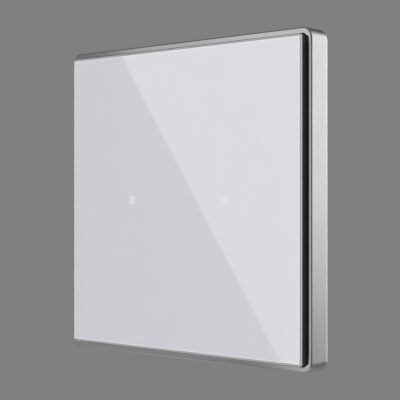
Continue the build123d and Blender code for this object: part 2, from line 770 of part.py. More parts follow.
# Each terminal's contact bar, screw and clamp cage
for number, x in enumerate(terminal_places, start=1):
    with BuildPart() as contact_bar:
        with BuildSketch(Plane.YZ.offset(x)):
            with BuildLine():
                tail_depth = power_board_front - solder_tail
                Polyline(
                    (bar_rear, bar_bottom),
                    (bar_rear, bar_leg_top),
                    (tail_depth, bar_leg_top),
                    (tail_depth, bar_leg_bottom),
                    (bar_front, bar_leg_bottom),
                    (bar_front, bar_bottom),
                    close=True,
                )
            make_face()
        extrude(amount=bar_width / 2, both=True)
    contact_bar.part.label = f"contact_bar_{number}"
    export_step(contact_bar.part, f"parts/contact_bar_{number}.step")

    with BuildPart() as terminal_screw:
        with BuildSketch(wall_plane(-bar_rear)):
            with Locations((x, terminal_screw_z)):
                Circle(terminal_screw_radius)
        extrude(amount=bar_rear - head_front)
        with BuildSketch(wall_plane(-head_front)):
            with Locations((x, terminal_screw_z)):
                Circle(terminal_head_radius)
        extrude(amount=-terminal_head_height)
        with BuildSketch(wall_plane(-head_rear)):
            with Locations((x, terminal_screw_z)):
                Rectangle(2 * terminal_head_radius, terminal_screw_slot_width)
        extrude(amount=terminal_screw_slot_depth, mode=Mode.SUBTRACT)
    terminal_screw.part.label = f"terminal_screw_{number}"
    export_step(terminal_screw.part, f"parts/terminal_screw_{number}.step")

    with BuildPart() as clamp_cage:
        with BuildSketch(Plane.XY.offset(cavity_bottom + cavity_fit)):
            with Locations((x, (cage_front + cage_rear) / 2)):
                Rectangle(cage_width, cage_rear - cage_front)
                Rectangle(cage_inner_width, cage_inner_height, mode=Mode.SUBTRACT)
        extrude(amount=cage_length)
        with BuildSketch(wall_plane(-cage_rear)):
            with Locations((x, terminal_screw_z)):
                Circle(terminal_screw_radius + thread_fit)
        extrude(amount=cage_end, mode=Mode.SUBTRACT)
    clamp_cage.part.label = f"clamp_cage_{number}"
    export_step(clamp_cage.part, f"parts/clamp_cage_{number}.step")
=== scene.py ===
from math import asin, atan2, cos, pi, radians, sin, tau
import bpy
import bmesh
from mathutils import Matrix, Vector


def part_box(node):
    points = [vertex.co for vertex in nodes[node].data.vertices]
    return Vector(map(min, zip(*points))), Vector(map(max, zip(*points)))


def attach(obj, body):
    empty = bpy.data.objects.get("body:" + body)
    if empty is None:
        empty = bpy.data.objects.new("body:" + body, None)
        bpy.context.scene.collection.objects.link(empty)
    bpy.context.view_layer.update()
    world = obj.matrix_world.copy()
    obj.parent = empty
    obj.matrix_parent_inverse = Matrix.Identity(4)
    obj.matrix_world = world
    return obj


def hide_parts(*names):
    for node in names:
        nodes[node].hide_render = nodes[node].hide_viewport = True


# A touch switch with a white glass front in a satin metal frame, on plain grey, lit by soft lamps.
# Lengths are in metres: the wall is the plane y = 0, the room is on its -Y side and +Z is up.

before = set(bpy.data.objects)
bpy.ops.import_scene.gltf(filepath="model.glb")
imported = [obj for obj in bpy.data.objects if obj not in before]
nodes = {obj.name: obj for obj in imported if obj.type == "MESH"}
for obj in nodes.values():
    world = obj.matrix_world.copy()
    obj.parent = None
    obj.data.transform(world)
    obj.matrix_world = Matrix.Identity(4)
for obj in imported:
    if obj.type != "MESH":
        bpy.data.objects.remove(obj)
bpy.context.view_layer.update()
mm = 0.001

# Places on the object, read from the frame
glass_low, glass_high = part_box("glass_panel")
glass_half = glass_high.x
glass_front = glass_low.y
frame_low, frame_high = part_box("metal_frame")
frame_half = frame_high.x
frame_front = frame_low.y
board_low, board_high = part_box("touch_board")
board_rear = board_high.y
chip_low, chip_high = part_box("touch_controller")
header_low, header_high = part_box("header_strip")
led_low, led_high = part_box("indicator_leds")
can_low, can_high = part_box("supply_capacitor_1")
housing_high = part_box("rear_housing")[1]
block_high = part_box("terminal_block")[1]
terminals = (1, 2, 3, 4)


def placed(name, data):
    """A new object in the scene."""
    item = bpy.data.objects.new(name, data)
    bpy.context.scene.collection.objects.link(item)
    return item


# Camera of the photograph, which is level with the middle of the plate
view_angle = radians(40.82)
view_direction = Vector((-sin(view_angle), cos(view_angle), 0))
camera_distance = 0.3107
camera_aim = Vector((-0.00018, 0.0009, 0.00004))
camera_place = camera_aim - view_direction * camera_distance
camera_lens = 100.98
sensor_width = 36.0
nearest_shown = 0.01
farthest_shown = 20


def make_camera():
    """The camera, which looks level at the middle of the plate from its right front."""
    data = bpy.data.cameras.new("camera")
    data.lens = camera_lens
    data.sensor_width = sensor_width
    data.clip_start = nearest_shown
    data.clip_end = farthest_shown
    camera = placed("camera", data)
    camera.location = camera_place
    camera.rotation_euler = view_direction.to_track_quat("-Z", "Y").to_euler()
    bpy.context.scene.camera = camera


# Cloud patterns have one roughness, and lie mostly between a low and a high value
noise_roughness = 0.55
noise_low = 0.3
noise_high = 0.7

# Sockets of a mix node that belong to its colours
mix_factor, mix_first, mix_second, mix_result = 0, 6, 7, 2


class Finish:
    """A material with a node tree of patterns, in the object's own coordinates in metres.

    A constant goes straight to a shader's socket, and only a pattern comes through a link.
    """

    def __init__(self, name, colour, roughness, metallic=0.0, **constants):
        self.name = name
        self.colour = colour
        self.roughness = roughness
        self.material = bpy.data.materials.new(name)
        self.material.use_nodes = True
        self.material.diffuse_color = (*colour, 1)
        self.tree = self.material.node_tree
        self.shader = self.tree.nodes["Principled BSDF"]
        self.set("Base Color", (*colour, 1))
        self.set("Roughness", roughness)
        self.set("Metallic", metallic)
        for key, value in constants.items():
            self.set(key.replace("_", " "), value)
        self.place = self.node("ShaderNodeTexCoord").outputs["Object"]

    def feed(self, socket, value):
        """Links a pattern to a socket, or sets a constant on it."""
        if isinstance(value, bpy.types.NodeSocket):
            self.tree.links.new(value, socket)
        else:
            socket.default_value = value

    def set(self, name, value):
        """Gives the shader a pattern or a constant."""
        self.feed(self.shader.inputs[name], value)

    def node(self, kind, inputs=(), **settings):
        """A node of a kind, with its settings, and with its inputs given in order or by name."""
        node = self.tree.nodes.new(kind)
        for name, value in settings.items():
            setattr(node, name, value)
        for key, value in inputs.items() if isinstance(inputs, dict) else enumerate(inputs):
            self.feed(node.inputs[key], value)
        return node

    def math(self, operation, *values):
        """A math node's result."""
        return self.node("ShaderNodeMath", values, operation=operation).outputs[0]

    def axis(self, letter):
        """One coordinate of the place on the object."""
        return self.node("ShaderNodeSeparateXYZ", [self.place]).outputs[letter]

    def noise(self, size, detail=2.0, stretch=None):
        """A cloud pattern of features about size across, longer along an axis whose stretch is small."""
        place = self.place
        if stretch:
            place = self.node("ShaderNodeVectorMath", [place, stretch], operation="MULTIPLY").outputs[0]
        inputs = {"Vector": place, "Scale": 1 / size, "Detail": detail, "Roughness": noise_roughness}
        return self.node("ShaderNodeTexNoise", inputs).outputs[0]

    def cells(self, size, output="Distance"):
        """A cell pattern."""
        return self.node("ShaderNodeTexVoronoi", {"Vector": self.place, "Scale": 1 / size}).outputs[output]

    def span(self, value, low, high, start=noise_low, end=noise_high):
        """A value mapped from start..end to low..high."""
        inputs = {"Value": value, "From Min": start, "From Max": end, "To Min": low, "To Max": high}
        return self.node("ShaderNodeMapRange", inputs).outputs[0]

    def mix(self, factor, first, second):
        """Two colours or patterns mixed by a factor."""
        first, second = ((*value, 1) if isinstance(value, tuple) else value for value in (first, second))
        inputs = {mix_factor: factor, mix_first: first, mix_second: second}
        return self.node("ShaderNodeMix", inputs, data_type="RGBA").outputs[mix_result]

    def blend(self, first, second, share):
        """The sum of two patterns, in which the first has a share and the second the rest."""
        return self.math("MULTIPLY_ADD", first, share, self.math("MULTIPLY", second, 1 - share))

    def shades(self, pattern, change, colour=None):
        """The colour varied by a share either way, by a pattern."""
        colour = colour or self.colour
        dark = tuple(channel * (1 - change) for channel in colour)
        light = tuple(min(channel * (1 + change), 1) for channel in colour)
        return self.mix(self.span(pattern, 0, 1), dark, light)

    def sheen(self, pattern, change):
        """The roughness varied either way, by a pattern."""
        return self.span(pattern, self.roughness - change, self.roughness + change)

    def bump(self, height, depth):
        """Relief of a depth in metres, by a pattern from 0 to 1."""
        self.set("Normal", self.node("ShaderNodeBump", {"Height": height, "Distance": depth}).outputs[0])


# Moulded plastic: flow marks, and how far they and the grain change colour and sheen
flow_size = 14 * mm
flow_stretch = (1, 1, 0.4)
flow_share = 0.5
moulded_shade = 0.09
moulded_sheen = 0.07


def moulded(name, colour, roughness, texture=0.35 * mm, depth=0.012 * mm, **constants):
    """A moulded plastic with spark-eroded texture, faint flow marks and uneven sheen."""
    finish = Finish(name, colour, roughness, **constants)
    grain = finish.noise(texture, 3.0)
    both = finish.blend(grain, finish.noise(flow_size, 2.0, flow_stretch), 1 - flow_share)
    finish.set("Base Color", finish.shades(both, moulded_shade))
    finish.set("Roughness", finish.sheen(both, moulded_sheen))
    finish.bump(grain, depth)
    return finish


# Plated metal: clouds in the plating, and how far they and the grain change colour and sheen
plating_cloud = 5 * mm
plated_grain_share = 0.6
plated_shade = 0.06
plated_sheen = 0.08
plated_depth = 0.002 * mm


def plated(name, colour, roughness, stretch=(1, 1, 1), size=0.2 * mm):
    """A metal with grain, cloudy plating and worn roughness."""
    finish = Finish(name, colour, roughness, 1.0)
    lines = finish.noise(size, 4.0, stretch)
    cloud = finish.noise(plating_cloud, 3.0)
    finish.set("Base Color", finish.shades(cloud, plated_shade))
    finish.set("Roughness", finish.sheen(finish.blend(lines, cloud, plated_grain_share), plated_sheen))
    finish.bump(lines, plated_depth)
    return finish


# Glass panel: white print behind the glass, black coat on its sides, ground bevel, two small windows, with
# painted highlights along the face's edge and the bevel's outer rim, and a painted glow in the left window
glass_roughness = 0.06
glass_coat = {"IOR": 1.52, "Coat_Weight": 1.0, "Coat_Roughness": 0.01, "Coat_IOR": 1.6}
glass_polish = (0.02, 0.05)
polish_size = 3 * mm
glass_wave = 20 * mm
glass_wave_depth = 0.002 * mm
white_print = (0.645, 0.64, 0.69)
print_cloud = 9 * mm
print_change = 0.006
# Painted highlight: a lighter band along the edge of the face
face_edge_painted_highlight = (0.74, 0.74, 0.76)
face_edge_highlight_width = 0.3 * mm
bevel_width = 0.6 * mm
bevel_depth = 0.4 * mm
bevel_inset = 0.04 * mm
bevel_grey = (0.36, 0.36, 0.37)
bevel_grain = 0.15 * mm
bevel_change = 0.1
bevel_dullness = 0.2
# Painted highlight: a lighter band along the bevel's outer rim
bevel_rim = 0.2 * mm
bevel_rim_painted_highlight = (0.5, 0.5, 0.51)
side_black = (0.034, 0.034, 0.036)
side_overlap = 0.02 * mm
window_spacing = 33.8 * mm
window_width = 2.0 * mm
window_height = 2.25 * mm
window_edge = 0.04 * mm
window_bar_pitch = 0.77 * mm
# The left window is lighter than the right: a painted glow of a lit indicator
left_window_painted_glow = ((0.725, 0.72, 0.765), (0.795, 0.79, 0.835))
right_window = ((0.665, 0.66, 0.705), (0.71, 0.705, 0.75))


def indicator_windows(finish, x, z):
    """A mask of the windows, and their colours: the left has two upright bars and a painted glow, the right
    two level ones.
    """
    across = finish.math("SUBTRACT", finish.math("ABSOLUTE", x), window_spacing / 2)
    right = finish.math("GREATER_THAN", x, 0.0)
    inside = []
    for place, size in ((across, window_width), (z, window_height)):
        ends = (size / 2 - window_edge, size / 2 + window_edge)
        inside.append(finish.span(finish.math("ABSOLUTE", place), 1, 0, *ends))
    along = finish.math("MULTIPLY", finish.mix(right, across, z), tau / window_bar_pitch)
    bars = finish.span(finish.math("COSINE", along), 1, 0, -1, 1)
    lit = finish.mix(right, finish.mix(bars, *left_window_painted_glow), finish.mix(bars, *right_window))
    return finish.math("MULTIPLY", *inside), lit


def white_glass():
    """The glass panel's finish, whose zones follow the distance from its middle and its front."""
    finish = Finish("white_glass", white_print, glass_roughness, **glass_coat)
    x, y, z = (finish.axis(letter) for letter in "XYZ")
    reach = finish.math("MAXIMUM", finish.math("ABSOLUTE", x), finish.math("ABSOLUTE", z))
    face_half = glass_half - bevel_width
    # A painted highlight along the edge of the face
    face_edge_highlight = finish.math("GREATER_THAN", reach, face_half - face_edge_highlight_width)
    bevel = finish.math("GREATER_THAN", reach, face_half + bevel_inset)
    # A painted highlight along the bevel's outer rim
    rim = finish.math("GREATER_THAN", reach, glass_half - bevel_rim)
    sides = finish.math("GREATER_THAN", y, glass_front + bevel_depth - side_overlap)
    window, lit = indicator_windows(finish, x, z)
    face = finish.mix(window, finish.shades(finish.noise(print_cloud, 3.0), print_change), lit)
    ground = finish.shades(finish.noise(bevel_grain), bevel_change, bevel_grey)
    front = finish.mix(bevel, finish.mix(face_edge_highlight, face, face_edge_painted_highlight), finish.mix(rim, ground, bevel_rim_painted_highlight))
    finish.set("Base Color", finish.mix(sides, front, side_black))
    polish = finish.span(finish.noise(polish_size, 4.0), *glass_polish)
    finish.set("Roughness", finish.math("MULTIPLY_ADD", bevel, bevel_dullness, polish))
    finish.bump(finish.noise(glass_wave, 1.0), glass_wave_depth)
    return finish


# Metal frame: satin sides with a painted highlight along the rear edge at the wall, a polished lip round the
# glass with painted reflection and painted shade, and a painted dark reflection band round the upper corners
frame_corner = 2.8 * mm
satin_grey = (0.5, 0.5, 0.505)
satin_change = 0.02
satin_polish = (0.29, 0.38)
satin_cloud = 12 * mm
blast_size = 0.16 * mm
blast_share = 0.6
line_size = 0.25 * mm
line_stretch = (1, 4, 0.12)
grain_depth = 0.0012 * mm
# Painted highlight: a brighter band along the rear edge at the wall
rear_edge_painted_highlight = (0.615, 0.615, 0.62)
rear_highlight_middle = 0.27 * mm
rear_highlight_half_width = 0.23 * mm
lip_depth = 0.28 * mm
lip_polish = (0.09, 0.14)
lip_grey = (0.53, 0.53, 0.535)
# Painted reflection: the dark inner part of the lip along the upright sides
lip_inner_painted_reflection = (0.15, 0.15, 0.155)
lip_outer_zone = (0.72 * mm, 0.36 * mm)
lip_end_zone = (4.5 * mm, 2.5 * mm)
# Painted shade on the lip's top, most at the left, and on its foot at the right
painted_shade_zone = (6.5 * mm, 1.5 * mm)
painted_shade_reach = (2 * mm, 27 * mm)
top_painted_shade = (0.66, 0.8)
foot_painted_shade = (1, 0.7)
# Painted reflection: a dark band round the upper corners
painted_corner_reflection_grey = (0.13, 0.13, 0.135)
band_depth = 0.28 * mm
band_rise = (radians(28), radians(52))
band_fall = (radians(80), radians(95))


def outside_zone(finish, place, zone):
    """A mask that rises from 0 to 1 between two distances from the frame's outside."""
    return finish.span(place, 0, 1, *(frame_half - distance for distance in zone))


def lip_colour(finish, across):
    """The colour of the polished lip, with a painted dark reflection on its inner part along the upright
    sides.

    As in the photograph, its top carries painted shade, most at the left, and its foot at the right.
    """
    height = finish.axis("Z")
    outer = outside_zone(finish, across, lip_outer_zone)
    ends = outside_zone(finish, finish.math("ABSOLUTE", height), lip_end_zone)
    upper = outside_zone(finish, height, painted_shade_zone)
    lower = outside_zone(finish, finish.math("MULTIPLY", height, -1), painted_shade_zone)
    top, foot = (finish.span(finish.axis("X"), *shade, *painted_shade_reach) for shade in (top_painted_shade, foot_painted_shade))
    shade = finish.mix(lower, finish.mix(upper, (1, 1, 1), top), foot)
    bright = finish.mix(shade, (0, 0, 0), lip_grey)
    return finish.mix(finish.math("MAXIMUM", outer, ends), lip_inner_painted_reflection, bright)


def corner_band(finish, across):
    """A mask of the painted dark reflection band round the upper corners, on the chamfer and the wall."""
    right = finish.math("SUBTRACT", across, frame_half - frame_corner)
    up = finish.math("SUBTRACT", finish.axis("Z"), frame_half - frame_corner)
    reach = finish.math("SQRT", finish.math("MULTIPLY_ADD", right, right, finish.math("MULTIPLY", up, up)))
    angle = finish.math("ARCTAN2", up, right)
    turn = finish.math("MULTIPLY", finish.span(angle, 0, 1, *band_rise), finish.span(angle, 1, 0, *band_fall))
    return finish.math("MULTIPLY", finish.math("GREATER_THAN", reach, frame_corner - band_depth), turn)


def satin_aluminium():
    """The frame's metal, with a fine blasted grain and faint lines along its sides."""
    finish = Finish("satin_aluminium", satin_grey, 0.27, 1.0)
    across, depth = finish.math("ABSOLUTE", finish.axis("X")), finish.axis("Y")
    blasted = finish.noise(blast_size, 3.0)
    grain = finish.blend(blasted, finish.noise(line_size, 3.0, line_stretch), blast_share)
    lip = finish.math("LESS_THAN", depth, frame_front + lip_depth)
    # A painted highlight along the rear edge at the wall
    cut = finish.math("LESS_THAN", finish.math("ABSOLUTE", finish.math("ADD", depth, rear_highlight_middle)), rear_highlight_half_width)
    satin = finish.mix(cut, finish.shades(finish.noise(satin_cloud), satin_change), rear_edge_painted_highlight)
    # The lip's colour carries painted reflection and painted shade
    colour = finish.mix(lip, satin, lip_colour(finish, across))
    # A painted dark reflection band round the upper corners
    finish.set("Base Color", finish.mix(corner_band(finish, across), colour, painted_corner_reflection_grey))
    sheens = (finish.span(grain, *polish) for polish in (satin_polish, lip_polish))
    finish.set("Roughness", finish.mix(lip, *sheens))
    finish.bump(grain, grain_depth)
    return finish


# Circuit boards: glass cloth under green solder resist, which is brighter over the ground copper
resist_green = (0.02, 0.16, 0.06)
copper_green = (0.024, 0.185, 0.072)
resist_change = 0.08
resist_polish = (0.26, 0.4)
resist_cloud = 2 * mm
resist_depth = 0.02 * mm
weave_scale = 700.0
weave_height = 0.2
pour_size = 11 * mm
pour_edge = (0.49, 0.51)


def circuit_board():
    """Green solder resist over glass cloth, with ground copper under parts of it."""
    finish = Finish("board", resist_green, 0.32, IOR=1.55, Coat_Weight=0.4, Coat_Roughness=0.12)
    threads = {"Vector": finish.place, "Scale": weave_scale}
    weave = finish.math("MULTIPLY", *(
        finish.node("ShaderNodeTexWave", threads, bands_direction=way).outputs[1] for way in "XZ"))
    pour = finish.span(finish.noise(pour_size, 0.0), 0, 1, *pour_edge)
    bare, covered = (finish.shades(weave, resist_change, green) for green in (resist_green, copper_green))
    finish.set("Base Color", finish.mix(pour, bare, covered))
    finish.set("Roughness", finish.span(finish.noise(resist_cloud, 3.0), *resist_polish))
    finish.bump(finish.math("MULTIPLY_ADD", weave, weave_height, pour), resist_depth)
    return finish


# Zinc-plated steel sheet
zinc_grey = (0.6, 0.61, 0.62)
zinc_dark = (0.52, 0.53, 0.54)
zinc_light = (0.68, 0.69, 0.69)
zinc_polish = (0.28, 0.5)
zinc_range = (0.2, 0.8)
crystal_size = 1.6 * mm
crystal_share = 0.35
rolling_size = 0.3 * mm
rolling_stretch = (0.06, 1, 1)
rolling_depth = 0.002 * mm


def zinc_steel():
    """Zinc-plated steel sheet, with its crystals and the faint lines of rolling."""
    finish = Finish("zinc_steel", zinc_grey, 0.38, 1.0)
    crystal = finish.node("ShaderNodeSeparateColor", [finish.cells(crystal_size, "Color")]).outputs[0]
    rolling = finish.noise(rolling_size, 3.0, rolling_stretch)
    both = finish.blend(crystal, rolling, crystal_share)
    finish.set("Base Color", finish.mix(finish.span(both, 0, 1, *zinc_range), zinc_dark, zinc_light))
    finish.set("Roughness", finish.span(both, *zinc_polish, *zinc_range))
    finish.bump(rolling, rolling_depth)
    return finish


# Foam film
foam_white = (0.8, 0.8, 0.78)
foam_cell = 0.18 * mm
foam_change = 0.1
foam_sheen = 0.1
foam_depth = 0.02 * mm


def foam_film():
    """Double-sided foam film, with its open cells."""
    finish = Finish("adhesive_film", foam_white, 0.75)
    cell = finish.cells(foam_cell)
    finish.set("Base Color", finish.shades(cell, foam_change))
    finish.set("Roughness", finish.sheen(cell, foam_sheen))
    finish.bump(cell, foam_depth)
    return finish


# Windings: painted shade in the groove between two turns
groove_painted_shade = 0.45
groove_edge = 0.5
winding_cloud = 1.5 * mm
winding_change = 0.1
winding_sheen = 0.06


def wound(name, colour, roughness, axis, pitch, depth, metallic=0.0):
    """Turns of wire or tape that lie side by side along an axis."""
    finish = Finish(name, colour, roughness, metallic)
    turn = finish.math("MULTIPLY", finish.axis(axis), pi / pitch)
    ridge = finish.math("ABSOLUTE", finish.math("SINE", turn))
    uneven = finish.noise(winding_cloud)
    # Painted shade: the groove between two turns is darker
    shaded_groove = tuple(channel * groove_painted_shade for channel in colour)
    crown = finish.shades(uneven, winding_change)
    finish.set("Base Color", finish.mix(finish.span(ridge, 0, 1, 0, groove_edge), shaded_groove, crown))
    finish.set("Roughness", finish.sheen(uneven, winding_sheen))
    finish.bump(ridge, depth)
    return finish


# Supply capacitors: a dark sleeve with a pale stripe, and a bare aluminium top
sleeve_black = (0.05, 0.05, 0.09)
sleeve_change = 0.2
sleeve_cloud = 1 * mm
sleeve_polish = (0.28, 0.42)
sleeve_wear = 0.8 * mm
sleeve_wave = 2 * mm
sleeve_depth = 0.02 * mm
stripe_grey = (0.55, 0.56, 0.6)
stripe_place = 5.4 * mm
can_grey = (0.75, 0.75, 0.76)
can_bare_depth = 0.25 * mm


def capacitor_can():
    """A sleeved can, whose top is bare metal."""
    finish = Finish("can_sleeve", sleeve_black, 0.35)
    top = finish.math("GREATER_THAN", finish.axis("Y"), can_high.y - can_bare_depth)
    stripe = finish.math("GREATER_THAN", finish.axis("X"), can_low.x + stripe_place)
    sleeve = finish.mix(stripe, finish.shades(finish.noise(sleeve_cloud), sleeve_change), stripe_grey)
    finish.set("Base Color", finish.mix(top, sleeve, can_grey))
    finish.set("Metallic", top)
    finish.set("Roughness", finish.span(finish.noise(sleeve_wear, 3.0), *sleeve_polish))
    finish.bump(finish.noise(sleeve_wave, 1.0), sleeve_depth)
    return finish


# Finishes of the CAD's material slots, each with its colour and roughness
finishes = {finish.name: finish for finish in (
    white_glass(),
    satin_aluminium(),
    moulded("black_carrier", (0.03, 0.03, 0.031), 0.5),
    moulded("black_base", (0.04, 0.04, 0.042), 0.55),
    moulded("housing", (0.74, 0.74, 0.72), 0.48, texture=0.3 * mm, depth=0.008 * mm),
    moulded("terminal_moulding", (0.11, 0.11, 0.12), 0.42),
    foam_film(),
    circuit_board(),
    moulded("chip_body", (0.028, 0.028, 0.03), 0.5, texture=0.12 * mm, depth=0.004 * mm),
    moulded("light_guide", (0.86, 0.86, 0.88), 0.25, depth=0.002 * mm),
    moulded("lamp_body", (0.85, 0.82, 0.62), 0.3, depth=0.002 * mm),
    moulded("connector", (0.025, 0.025, 0.026), 0.4),
    plated("pins", (0.86, 0.66, 0.3), 0.22),
    zinc_steel(),
    plated("screw_steel", (0.62, 0.63, 0.65), 0.3),
    plated("cage_brass", (0.68, 0.63, 0.52), 0.28, stretch=(1, 0.3, 1)),
    moulded("relay_case", (0.03, 0.1, 0.32), 0.32, texture=0.5 * mm, depth=0.004 * mm),
    moulded("ferrite", (0.06, 0.06, 0.065), 0.6, texture=0.2 * mm),
    wound("winding", (0.75, 0.6, 0.1), 0.35, axis="Z", pitch=1.3 * mm, depth=0.03 * mm),
    moulded("film_case", (0.78, 0.58, 0.08), 0.35, texture=0.4 * mm, depth=0.006 * mm),
    capacitor_can(),
    moulded("varistor_coat", (0.08, 0.2, 0.48), 0.3, texture=0.9 * mm, depth=0.03 * mm),
    moulded("fuse_case", (0.33, 0.12, 0.05), 0.4),
    wound("copper_coil", (0.72, 0.34, 0.16), 0.3, axis="Y", pitch=0.35 * mm, depth=0.06 * mm, metallic=1.0),
)}

# Finishes of the detail pieces that scene.py adds
white_ink = moulded("white_ink", (0.85, 0.85, 0.83), 0.6, texture=0.08 * mm, depth=0.004 * mm)
tin = plated("solder_tin", (0.7, 0.7, 0.69), 0.26, size=0.1 * mm)
fine = {"texture": 0.1 * mm, "depth": 0.002 * mm}
resistor_ceramic = moulded("resistor_ceramic", (0.8, 0.8, 0.78), 0.4, **fine)
resistor_glaze = moulded("resistor_glaze", (0.02, 0.02, 0.022), 0.25, **fine)
capacitor_ceramic = moulded("capacitor_ceramic", (0.5, 0.35, 0.2), 0.4, **fine)
track_resist = moulded("board_track", (0.04, 0.3, 0.12), 0.3, texture=0.2 * mm, depth=0.004 * mm,
                       Coat_Weight=0.4)

# Edge rounding of the solids, by material slot, since moulded and turned edges are never quite sharp
edge_radius = {
    "white_glass": 0.04 * mm,
    "satin_aluminium": 0.09 * mm,
    "black_carrier": 0.12 * mm,
    "black_base": 0.12 * mm,
    "housing": 0.18 * mm,
    "terminal_moulding": 0.12 * mm,
    "zinc_steel": 0.08 * mm,
    "screw_steel": 0.07 * mm,
    "cage_brass": 0.1 * mm,
    "pins": 0.05 * mm,
}
other_edge_radius = 0.08 * mm
edge_segments = 2
sharp_angle = radians(32)
flat_angle = radians(0.6)
weld_distance = 0.002 * mm


def smooth_faces():
    """A node group that shades every face smooth, for the rounded edges."""
    group = bpy.data.node_groups.new("smooth_faces", "GeometryNodeTree")
    for way in ("INPUT", "OUTPUT"):
        group.interface.new_socket(name="Mesh", in_out=way, socket_type="NodeSocketGeometry")
    start, smooth, end = (group.nodes.new(kind) for kind in (
        "NodeGroupInput", "GeometryNodeSetShadeSmooth", "NodeGroupOutput"))
    group.links.new(start.outputs[0], smooth.inputs[0])
    group.links.new(smooth.outputs[0], end.inputs[0])
    return group


smoothing = smooth_faces()


def weld_points(piece, distance):
    """Joins a piece's points that lie within a distance, with a modifier."""
    weld = piece.modifiers.new("weld", "WELD")
    weld.merge_threshold = distance


def round_edges(piece, radius):
    """Rounds a piece's sharp edges with modifiers, which leave its own mesh as it is."""
    weld_points(piece, weld_distance)
    planes = piece.modifiers.new("planes", "DECIMATE")
    planes.decimate_type = "DISSOLVE"
    planes.angle_limit = flat_angle
    smooth = piece.modifiers.new("smooth", "NODES")
    smooth.node_group = smoothing
    edges = piece.modifiers.new("edges", "BEVEL")
    edges.width = radius
    edges.segments = edge_segments
    edges.limit_method = "ANGLE"
    edges.angle_limit = sharp_angle
    normals = piece.modifiers.new("normals", "WEIGHTED_NORMAL")
    normals.keep_sharp = True


def dress_nodes():
    """Gives every CAD node its finish and its rounded edges."""
    for node in nodes.values():
        slot_name = node.data.materials[0].name.split(".")[0]
        for slot in node.material_slots:
            slot.material = finishes[slot_name].material
        round_edges(node, edge_radius.get(slot_name, other_edge_radius))


# Mesh code of the detail pieces, which are too small for the CAD and ride on its bodies
disc_sides = 20


def bridge(form, first, second):
    """A closed prism between two outlines with as many places each."""
    ends = [[form.verts.new(place) for place in outline] for outline in (first, second)]
    form.faces.new(ends[0])
    form.faces.new(reversed(ends[1]))
    for i in range(len(first)):
        j = (i + 1) % len(first)
        form.faces.new((ends[0][i], ends[0][j], ends[1][j], ends[1][i]))


def slab(form, outline, low, high):
    """A prism between two depths, whose outline is a list of x and z."""
    bridge(form, *([(x, y, z) for x, z in outline] for y in (low, high)))


def circle(x, z, radius, sides=disc_sides):
    """The outline of a disc."""
    turns = [tau * i / sides for i in range(sides)]
    return [(x + radius * cos(turn), z + radius * sin(turn)) for turn in turns]


def strip(points, width):
    """The outline of a band of one width along a bent line."""
    line = [Vector(point) for point in points]
    banks = ([], [])
    for i, point in enumerate(line):
        before = (point - line[i - 1]).normalized() if i else (line[1] - point).normalized()
        after = (line[i + 1] - point).normalized() if i + 1 < len(line) else before
        normals = [Vector((-way.y, way.x)) for way in (before, after)]
        mitre = (normals[0] + normals[1]).normalized()
        reach = mitre * (width / 2 / mitre.dot(normals[0]))
        banks[0].append(tuple(point + reach))
        banks[1].append(tuple(point - reach))
    return banks[0] + banks[1][::-1]


def ring(form, x, z, inner, outer, low, high, sides=disc_sides):
    """A flat ring between two depths."""
    loops = [[form.verts.new((a, y, b)) for a, b in circle(x, z, radius, sides)]
             for radius, y in ((inner, low), (outer, low), (outer, high), (inner, high))]
    for first, second in zip(loops, loops[1:] + loops[:1]):
        for i in range(sides):
            j = (i + 1) % sides
            form.faces.new((first[i], first[j], second[j], second[i]))


def detail(name, form, finish, body, radius=None):
    """A piece from mesh code, with a finish and perhaps rounded edges, that rides on a body."""
    bmesh.ops.recalc_face_normals(form, faces=form.faces)
    mesh = bpy.data.meshes.new(name)
    form.to_mesh(mesh)
    form.free()
    mesh.materials.append(finish.material)
    piece = placed(name, mesh)
    if radius:
        round_edges(piece, radius)
    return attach(piece, body)


# Terminal screws: a slotted cheese head with a turned rim, and a thread that is cut to its core
screw_head_radius = 2.3 * mm
screw_head_thickness = 1.6 * mm
screw_rim = 0.25 * mm
screw_rounding = 0.04 * mm
screw_slot_width = 0.7 * mm
screw_slot_depth = 0.9 * mm
slot_parts = 24
shaft_overlap = 0.05 * mm
thread_radius = 1.45 * mm
thread_core = 1.2 * mm
thread_pitch = 0.5 * mm
thread_sides = 24
thread_shape = (0.0, 0.0, 0.5, 1.0, 1.0, 0.5)
thread_weld = 0.0005 * mm


def screw_shaft(form, x, z, low, high):
    """The thread: one long strip of quads along a helix, held between the two ends of the shaft."""
    steps = len(thread_shape)
    turns = round((high - low) / thread_pitch) + 1
    loops = []
    for row in range(-steps, turns * steps + 1):
        loop = []
        for side in range(thread_sides + 1):
            depth = low + (row / steps + side / thread_sides) * thread_pitch
            held = min(max(depth, low), high)
            cut = thread_shape[row % steps] if held == depth else 0
            angle = tau * side / thread_sides
            radius = thread_core + (thread_radius - thread_core) * cut
            loop.append(form.verts.new((x + radius * cos(angle), held, z + radius * sin(angle))))
        loops.append(loop)
    for first, second in zip(loops, loops[1:]):
        for i in range(thread_sides):
            form.faces.new((first[i], first[i + 1], second[i + 1], second[i]))
    bmesh.ops.remove_doubles(form, verts=form.verts, dist=thread_weld)
    bmesh.ops.holes_fill(form, edges=[edge for edge in form.edges if edge.is_boundary])


def half_head(x, z, side, radius):
    """The outline of one of the two halves of the head beside its slot."""
    reach = asin(screw_slot_width / 2 / radius)
    arc = [reach + (pi - 2 * reach) * i / slot_parts for i in range(slot_parts + 1)]
    return [(x + radius * cos(angle), z + side * radius * sin(angle)) for angle in arc]


